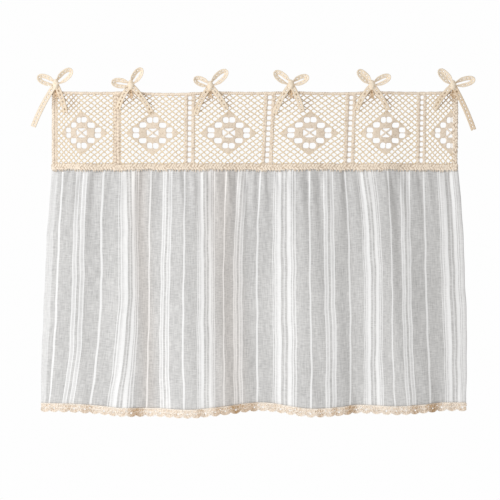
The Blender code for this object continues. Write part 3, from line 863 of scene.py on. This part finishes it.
trim_columns = int(hem_length / trim_step) + 3
trim_rows = int((TRIM_HEIGHT + TRIM_LAP) / trim_step) + 3
grid_x = (np.arange(trim_columns) - 1) * trim_step
grid_z = -TRIM_HEIGHT + (np.arange(trim_rows) - 1) * trim_step
trim_x, trim_z = np.meshgrid(grid_x, grid_z)
fan = np.interp(trim_x, travelled, fans_along)
from_fan = (fan - np.floor(fan) - 0.5) * fan_pitch
trim_in = trim_z - trim_edge(from_fan) - 0.0010
# An eyelet in the middle of every fan and a smaller one between two fans
eyelet_radius = 0.0016 + 0.0007 * np.sin(np.floor(fan) * 2.3)
trim_in = np.minimum(trim_in, np.hypot(from_fan, trim_z + 0.0078) - eyelet_radius)
from_notch = np.hypot((fan - np.round(fan)) * fan_pitch, trim_z + 0.0030)
trim_in = np.minimum(trim_in, from_notch - 0.0009 - 0.0006 * np.sin(np.round(fan) * 1.7))
within_ends = np.minimum.reduce((trim_x, hem_length - trim_x, TRIM_LAP - trim_z)) - TRIM_MARGIN
trim_in = np.minimum(trim_in, within_ends)
trim_half = rounded_half(trim_in, 0.0012, TRIM_THICKNESS / 2) + 0.0001


def trim_place(column, row, lift):
    """Points of the trim at these columns and rows of its grid."""
    return hang_trim((column - 1) * trim_step, -TRIM_HEIGHT + (row - 1) * trim_step, lift)


def trim_pit_shade(along, z):
    """Painted shade in dark pits scattered over the trim, at places along and below the hem."""
    scattered = np.sin(along * 1510 + 2.6 * np.sin(along * 190))
    scattered = scattered * np.sin(along * 730 + z * 1650 + 2 * np.sin(z * 500))
    return 1.6 * np.maximum(scattered, 0.0) ** 3


trim_cotton = cotton("cream trim cotton", (1.0, 0.935, 0.85), (0.45, 0.235, 0.045), 190.0)
# Painted shade over the trim: an even share, more where a fold turns it from the light, and in scattered
# pits
trim_painted_shade = 0.30 + trim_turned_shade(trim_x) + 0.6 * trim_pit_shade(trim_x, trim_z)
points, faces, painted_shade, flat = closed_sheet(trim_in, trim_half, trim_painted_shade, trim_place)
trim_cut = (flat[0] * trim_step, flat[1] * trim_step)
trim = make_piece("scalloped_trim", points, faces, trim_cotton, painted_shade, trim_cut)
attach(trim, "root")
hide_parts("hem_trim")

threads = []
along = np.arange(TRIM_MARGIN, hem_length - TRIM_MARGIN, 0.0009)
# The chain along the top and the one that the fans start from: height, swing and thread radius
for chain_z, chain_swing, chain_radius in ((0.0016, 0.0009, 0.00105), (FAN_TOP, 0.0007, 0.00085)):
    for side in (-1, 1):
        turn = 2 * np.pi * along / 0.0054 + 0.8 * np.sin(along * 210)
        strand_z = chain_z + side * chain_swing * np.sin(turn)
        path = hang_trim(along, strand_z, 0.0006 + side * 0.0003 * np.cos(turn))
        threads.append((path, chain_radius * (1 + 0.12 * side * np.cos(turn)), side * np.cos(turn)))
# Posts in pairs under the top chain
share = np.linspace(0.0, 1.0, 4)
for number in range(SCALLOPS * 6):
    post = float(np.interp((number + 0.5) / 6 + 0.02 * math.sin(number * 2.6), fans_along, travelled))
    if number % 3 == 1:
        continue
    lean = 0.0003 * math.sin(post * 1900)
    post_lift = 0.0007 + 0.0003 * np.sin(np.pi * share)
    path = hang_trim(post + lean * share, 0.0006 - 0.0052 * share, post_lift)
    threads.append((path, 0.00105, (-0.6, 0.5, 0.5, -0.6)))
# Spokes of every fan but for its middle one, where the eyelet is, a short post between two fans, and the
# chain round the fan's edge
share = np.linspace(0.0, 1.0, 5)
spoke_bead = np.sin(3 * np.pi * share)
for scallop in range(SCALLOPS):
    middle = float(np.interp(scallop + 0.5, fans_along, travelled))
    for spoke in range(SPOKES):
        if spoke == SPOKES // 2:
            continue
        lean = (spoke - (SPOKES - 1) / 2) / ((SPOKES - 1) / 2)
        end_x = 0.0098 * math.sin(lean * 1.45) + 0.0003 * math.sin(scallop * 2.3 + spoke)
        start_x = 0.0066 * lean
        end_z = float(trim_edge(end_x)) + 0.0018
        place = middle + start_x + (end_x - start_x) * share
        place = np.clip(place, TRIM_MARGIN, hem_length - TRIM_MARGIN)
        spoke_lift = 0.0007 + 0.0004 * np.sin(np.pi * share)
        path = hang_trim(place, FAN_TOP + (end_z - FAN_TOP) * share, spoke_lift)
        threads.append((path, 0.00080 * (1 + 0.15 * spoke_bead), 0.6 * spoke_bead))
    notch = np.full(5, min(middle + fan_pitch / 2, hem_length - 2 * TRIM_MARGIN))
    path = hang_trim(notch, FAN_TOP - 0.0062 * share, 0.0005 + 0.0003 * np.sin(np.pi * share))
    threads.append((path, 0.00095, 0.3 * spoke_bead))
    edge_x = np.linspace(-0.5, 0.5, 25) * fan_pitch
    place = np.clip(middle + edge_x, TRIM_MARGIN, hem_length - TRIM_MARGIN)
    bead = np.cos(2 * np.pi * edge_x / 0.0027)
    path = hang_trim(place, trim_edge(edge_x) + 0.0012, 0.0008 + 0.0002 * bead)
    threads.append((path, 0.00105 * (1 + 0.20 * bead), 0.7 * bead))
points, faces, facing, bead = ropes(threads, TRIM_SIDES)
along = np.interp(points[:, 0], hem[:, 0], travelled)
# Painted shade on the threads' sides and between their beads, where a fold turns the trim from the light,
# and in scattered pits
painted_shade = 0.14 - 0.24 * bead - 0.20 * np.abs(facing) + trim_turned_shade(along) + trim_pit_shade(along, points[:, 2])
stitches = make_piece("trim_stitches", points, faces, trim_cotton, painted_shade)
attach(stitches, "root")
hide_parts("hem_trim")


# Ties: six lengths of the same cotton, crocheted as a narrow tape with a row of eyelets down its middle,
# each sewn by its middle to the heading's top edge and tied in a bow with two free tails.
TAPE_WIDTH = 0.0125
TAPE_THICKNESS = 0.0014
EYELET_PITCH = 0.0085
SEWING_SIDES = 6
# Each bow: its left and right loops' length, angle, spread and tilt; its tails' ends, x and z, and how much
# painted shade darkens them
BOWS = (
    ((0.0395, 158, 0.22, 52), (0.0450, 42, 0.21, 48), (-0.492, -0.080, 0.04), (-0.420, -0.051, 0.30)),
    ((0.0390, 172, 0.21, 52), (0.0405, 56, 0.20, 46), (-0.304, -0.041, 0.16), (-0.230, -0.048, 0.18)),
    ((0.0360, 156, 0.22, 46), (0.0470, 42, 0.20, 50), (-0.132, -0.055, 0.20), (-0.062, -0.042, 0.12)),
    ((0.0425, 143, 0.20, 52), (0.0390, 24, 0.20, 50), (0.043, -0.053, 0.12), (0.106, -0.047, 0.12)),
    ((0.0405, 134, 0.15, 66), (0.0415, 26, 0.19, 48), (0.225, -0.044, 0.16), (0.296, -0.044, 0.18)),
    ((0.0420, 133, 0.16, 64), (0.0460, 15, 0.18, 50), (0.398, -0.042, 0.24), (0.486, -0.087, 0.46)),
)
tape_step = 0.00115
tape_cotton = cotton("cream tape cotton", (1.0, 0.905, 0.755), (0.56, 0.34, 0.15), 200.0)


def tape_strip(path, halves, shade):
    """A length of tape along a path, from its half-width vector at each point and how much painted shade
    darkens it.
    """
    travelled = way_along(path)
    length = float(travelled[-1])
    out = unit(np.cross(np.gradient(path, travelled, axis=0), halves))
    columns = int(length / tape_step) + 3
    rows = 13
    half_width = TAPE_WIDTH / 2
    across_step = 2 * half_width / (rows - 3)
    strip_x = (np.arange(columns) - 1) * tape_step
    strip_w = (np.arange(rows) - 1) * across_step - half_width
    x, w = np.meshgrid(strip_x, strip_w)
    edge = half_width - 0.0003 - np.abs(w) + 0.00025 * np.cos(2 * np.pi * x / 0.0036)
    inside = np.minimum(edge, np.minimum(x, length - x) - 0.0002)
    eyelet = (x / EYELET_PITCH - np.round(x / EYELET_PITCH)) * EYELET_PITCH
    from_eyelet = box_gap(eyelet, w, 0.0021, 0.0012, 0.0011)
    inside = np.minimum(inside, from_eyelet)
    wale = np.cos(2 * np.pi * (x / 0.0034 + np.abs(w) / 0.006))
    half = rounded_half(inside, 0.0013, TAPE_THICKNESS / 2) * (1 + 0.22 * wale) + 0.0001

    def place(column, row, lift):
        """Points of the tape at these columns and rows of its grid."""
        at = (column - 1) * tape_step
        sideways = ((row - 1) * across_step - half_width) / half_width
        middle = read_along(at, travelled, path) + read_along(at, travelled, halves) * sideways[:, None]
        return middle + read_along(at, travelled, out) * lift[:, None]

    # Painted shade between the wales, round the eyelets and at the tape's edges
    tape_painted_shade = 0.10 - 0.14 * wale + 0.60 * np.exp(-((from_eyelet / 0.0008) ** 2))
    tape_painted_shade = tape_painted_shade + 0.40 * (np.abs(w) / half_width) ** 8
    points, faces, painted_shade, _ = closed_sheet(inside, half, tape_painted_shade + shade, place)
    return points, faces, painted_shade, length


def loop_path(knot, length, angle, spread, tilt):
    """A teardrop of tape out of the knot, turned so that it opens towards the front."""
    out = np.array((math.cos(math.radians(angle)), 0.0, math.sin(math.radians(angle))))
    side = np.array((-out[2], 0.0, out[0]))
    turn = 2 * np.pi * np.linspace(0.06, 0.94, 60)
    reach = (1 - np.cos(turn)) / 2
    bulge = np.sin(turn) * (0.35 + 0.65 * np.sin(turn / 2))
    path = knot + out * (length * reach)[:, None] + side * (spread * length * bulge)[:, None]
    along = unit(np.gradient(path, axis=0))
    outward = np.stack((along[:, 2], np.zeros(60), -along[:, 0]), axis=-1)
    towards = np.einsum("ij,ij->i", outward, path - knot - out * (length * 0.6))
    outward *= np.where(towards < 0, -1.0, 1.0)[:, None]
    opened = np.minimum(1.0, np.linalg.norm(path - knot, axis=1) / length / 0.45)
    tilt = math.radians(tilt) * opened
    width = np.cos(tilt)[:, None] * np.array((0.0, -1.0, 0.0)) + np.sin(tilt)[:, None] * outward
    return path, width * (TAPE_WIDTH / 2 * (0.45 + 0.55 * opened))[:, None]


def tail_path(start, end, bulge, clearance):
    """Tape that falls from start to end in front of the heading, bowed sideways by bulge."""
    end = np.array(end)
    control = (start + end) / 2 + np.array((bulge, 0.0, 0.004))
    share = np.linspace(0.0, 1.0, 40)[:, None]
    path = start * (1 - share) ** 2 + control * (2 * share * (1 - share)) + end * share**2
    along = (control - start) * (1 - share) + (end - control) * share
    along[:, 1] = 0.0
    along = unit(along)
    across = np.stack((-along[:, 2], np.zeros(40), along[:, 0]), axis=-1) * (TAPE_WIDTH / 2)
    forward = LACE_HALF + TAPE_THICKNESS / 2 + clearance
    left = lace_depth(path[:, 0] - across[:, 0], path[:, 2] - across[:, 2])
    right = lace_depth(path[:, 0] + across[:, 0], path[:, 2] + across[:, 2])
    middle = np.minimum((left + right) / 2, lace_depth(path[:, 0], path[:, 2])) - forward
    share = share[:, 0]
    path[:, 1] = start[1] + (middle - start[1]) * share
    across[:, 1] = (right - left) / 2 * share
    return path, across


KNOT_HALF = (0.0068, 0.0060, 0.0112)


def knot_shape(knot):
    """The wrapped knot: a plump pad with the turn of tape that crosses it."""
    rings = 15
    sides = 20
    points = []
    for ring in range(rings):
        polar = math.pi * (ring + 0.5) / rings
        for side in range(sides):
            turn = 2 * math.pi * side / sides
            wrap = 0.07 * math.cos(3 * turn + 5 * polar) + 0.05 * math.cos(9 * polar)
            swell = 1 + wrap * math.sin(polar)
            points.append((
                knot[0] + KNOT_HALF[0] * math.sin(polar) * math.cos(turn) * swell,
                knot[1] + KNOT_HALF[1] * math.sin(polar) * math.sin(turn) * swell,
                knot[2] + KNOT_HALF[2] * math.cos(polar),
            ))
    faces = []
    for ring in range(rings - 1):
        for side in range(sides):
            here = ring * sides
            nearby = (side + 1) % sides
            faces.append([here + side, here + sides + side, here + sides + nearby, here + nearby])
    faces.append(list(range(sides)))
    faces.append(list(range((rings - 1) * sides, rings * sides))[::-1])
    return np.array(points), faces


def joined(parts):
    """One mesh of several parts, each with its points, faces and how much painted shade darkens its points.
    """
    faces = []
    first = 0
    for points, part_faces, _ in parts:
        faces += [[index + first for index in face] for face in part_faces]
        first += len(points)
    return np.concatenate([part[0] for part in parts]), faces, np.concatenate([part[2] for part in parts])


for number, ((x, z), bow) in enumerate(zip(KNOTS, BOWS), start=1):
    left_loop, right_loop, (left_x, left_z, left_tail_shade), (right_x, right_z, right_tail_shade) = bow
    depth = float(lace_depth(np.array([x]), np.array([0.0]))[0])
    knot = np.array((x, depth - 0.006, z))
    # The middle of the tape, from behind the knot down the front of the lace's top edge
    root = np.array([(x, knot[1] + 0.0021, z), (x, depth - 0.0022, 0.004), (x, depth - 0.0021, -0.017)])
    share = np.linspace(0, 2, 24)
    root_path = read_along(share, (0, 1, 2), root)
    # Two loops, two tails, the left one hanging over the right one, and the root, painted dark as if in
    # shade
    strips = (
        (*loop_path(knot, *left_loop), 0.0),
        (*loop_path(knot, *right_loop), 0.0),
        (*tail_path(knot, (left_x, knot[1], left_z), -0.0055, 0.0041), left_tail_shade),
        (*tail_path(knot, (right_x, knot[1], right_z), 0.004, 0.0020), right_tail_shade),
        (root_path, np.tile((0.0032, 0.0, 0.0), (24, 1)), 0.8),
    )
    parts = []
    total = 0.0
    for strip in strips:
        points, faces, painted_shade, length = tape_strip(*strip)
        parts.append((points, faces, painted_shade))
        total += length
    points, faces = knot_shape(knot)
    wrapped = (points[:, 2] - z) * 900 + (points[:, 0] - x) * 500
    parts.append((points, faces, 0.12 + 0.10 * np.cos(wrapped)))
    # Threads sew the middle of the tape to the lace, spread below the knot, and are painted dark as the
    # shade under the knot
    share = np.linspace(0.0, 1.0, 12)
    knobbly = np.sin(share * 40)
    sewing = []
    for reach in (-0.0135, -0.0060, 0.0050, 0.0125):
        sewn_x = x + reach * (0.15 + 0.85 * share) + 0.0006 * np.sin(share * 17 + reach * 900)
        sewn_z = z - 0.0070 - (0.0300 - abs(reach)) * share
        sewn_y = lace_depth(sewn_x, sewn_z) - 0.0026 - 0.0022 * (1 - share) ** 2
        path = np.stack((sewn_x, sewn_y, sewn_z), axis=-1)
        sewing.append((path, 0.0011 * (1 + 0.25 * knobbly), 0.85 + 0.35 * knobbly))
    points, faces, _, painted_shade = ropes(sewing, SEWING_SIDES)
    parts.append((points, faces, painted_shade))
    points, faces, painted_shade = joined(parts)
    tie = make_piece(f"bow_{number}", points, faces, tape_cotton, painted_shade)
    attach(tie, "root")
    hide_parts(f"tie_{number}")


# Floor, light and camera: a plain pale floor well below the hem, an even pale studio with a soft key light
# from the left and a weak fill from the right, and a camera square to the curtain.
bpy.ops.mesh.primitive_plane_add(size=1.6, location=(0.0, 0.0, -1.02))
floor = bpy.context.object
floor.name = "floor"
floor_look = bpy.data.materials.new("pale floor")
floor_look.use_nodes = True
floor_shader = floor_look.node_tree.nodes["Principled BSDF"]
floor_shader.inputs["Base Color"].default_value = (0.93, 0.93, 0.93, 1.0)
floor_shader.inputs["Roughness"].default_value = 0.9
floor_shader.inputs["Emission Color"].default_value = (1.0, 1.0, 1.0, 1.0)
floor_shader.inputs["Emission Strength"].default_value = 0.35
floor.data.materials.append(floor_look)

world = bpy.data.worlds.new("studio")
bpy.context.scene.world = world
world.use_nodes = True
nodes = world.node_tree.nodes
links = world.node_tree.links
background = nodes["Background"]
background.inputs["Color"].default_value = (1.0, 0.975, 0.945, 1.0)
background.inputs["Strength"].default_value = 0.49
seen = nodes.new("ShaderNodeBackground")
seen.inputs["Color"].default_value = (0.99, 0.99, 0.99, 1.0)
seen.inputs["Strength"].default_value = 1.0
rays = nodes.new("ShaderNodeLightPath")
mixed = nodes.new("ShaderNodeMixShader")
links.new(rays.outputs["Is Camera Ray"], mixed.inputs["Fac"])
links.new(background.outputs["Background"], mixed.inputs[1])
links.new(seen.outputs["Background"], mixed.inputs[2])
links.new(mixed.outputs["Shader"], nodes["World Output"].inputs["Surface"])

for name, place, size, power, colour in (
    ("key", (-2.15, -2.1, 0.45), 1.1, 52.0, (1.0, 0.995, 0.99)),
    ("fill", (1.6, -2.6, 0.2), 1.8, 7.0, (1.0, 0.97, 0.94)),
):
    lamp = bpy.data.lights.new(name, "AREA")
    lamp.size = size
    lamp.energy = power
    lamp.color = colour
    light = bpy.data.objects.new(name, lamp)
    bpy.context.collection.objects.link(light)
    light.location = place
    aim = np.array((0.0, 0.0, -0.35)) - np.array(place)
    tilt = math.atan2(math.hypot(aim[0], aim[1]), -aim[2])
    light.rotation_euler = (tilt, 0.0, math.atan2(-aim[0], aim[1]))

camera_data = bpy.data.cameras.new("camera")
camera_data.sensor_width = 36.0
camera_distance = 5.0
frame_width = 1.1111
camera_data.lens = camera_data.sensor_width * camera_distance / frame_width
camera = bpy.data.objects.new("camera", camera_data)
bpy.context.collection.objects.link(camera)
camera.location = (-0.0108, -camera_distance, -0.3533)
camera.rotation_euler = (math.pi / 2, 0.0, 0.0)
bpy.context.scene.camera = camera
bpy.context.scene.view_settings.view_transform = "Standard"
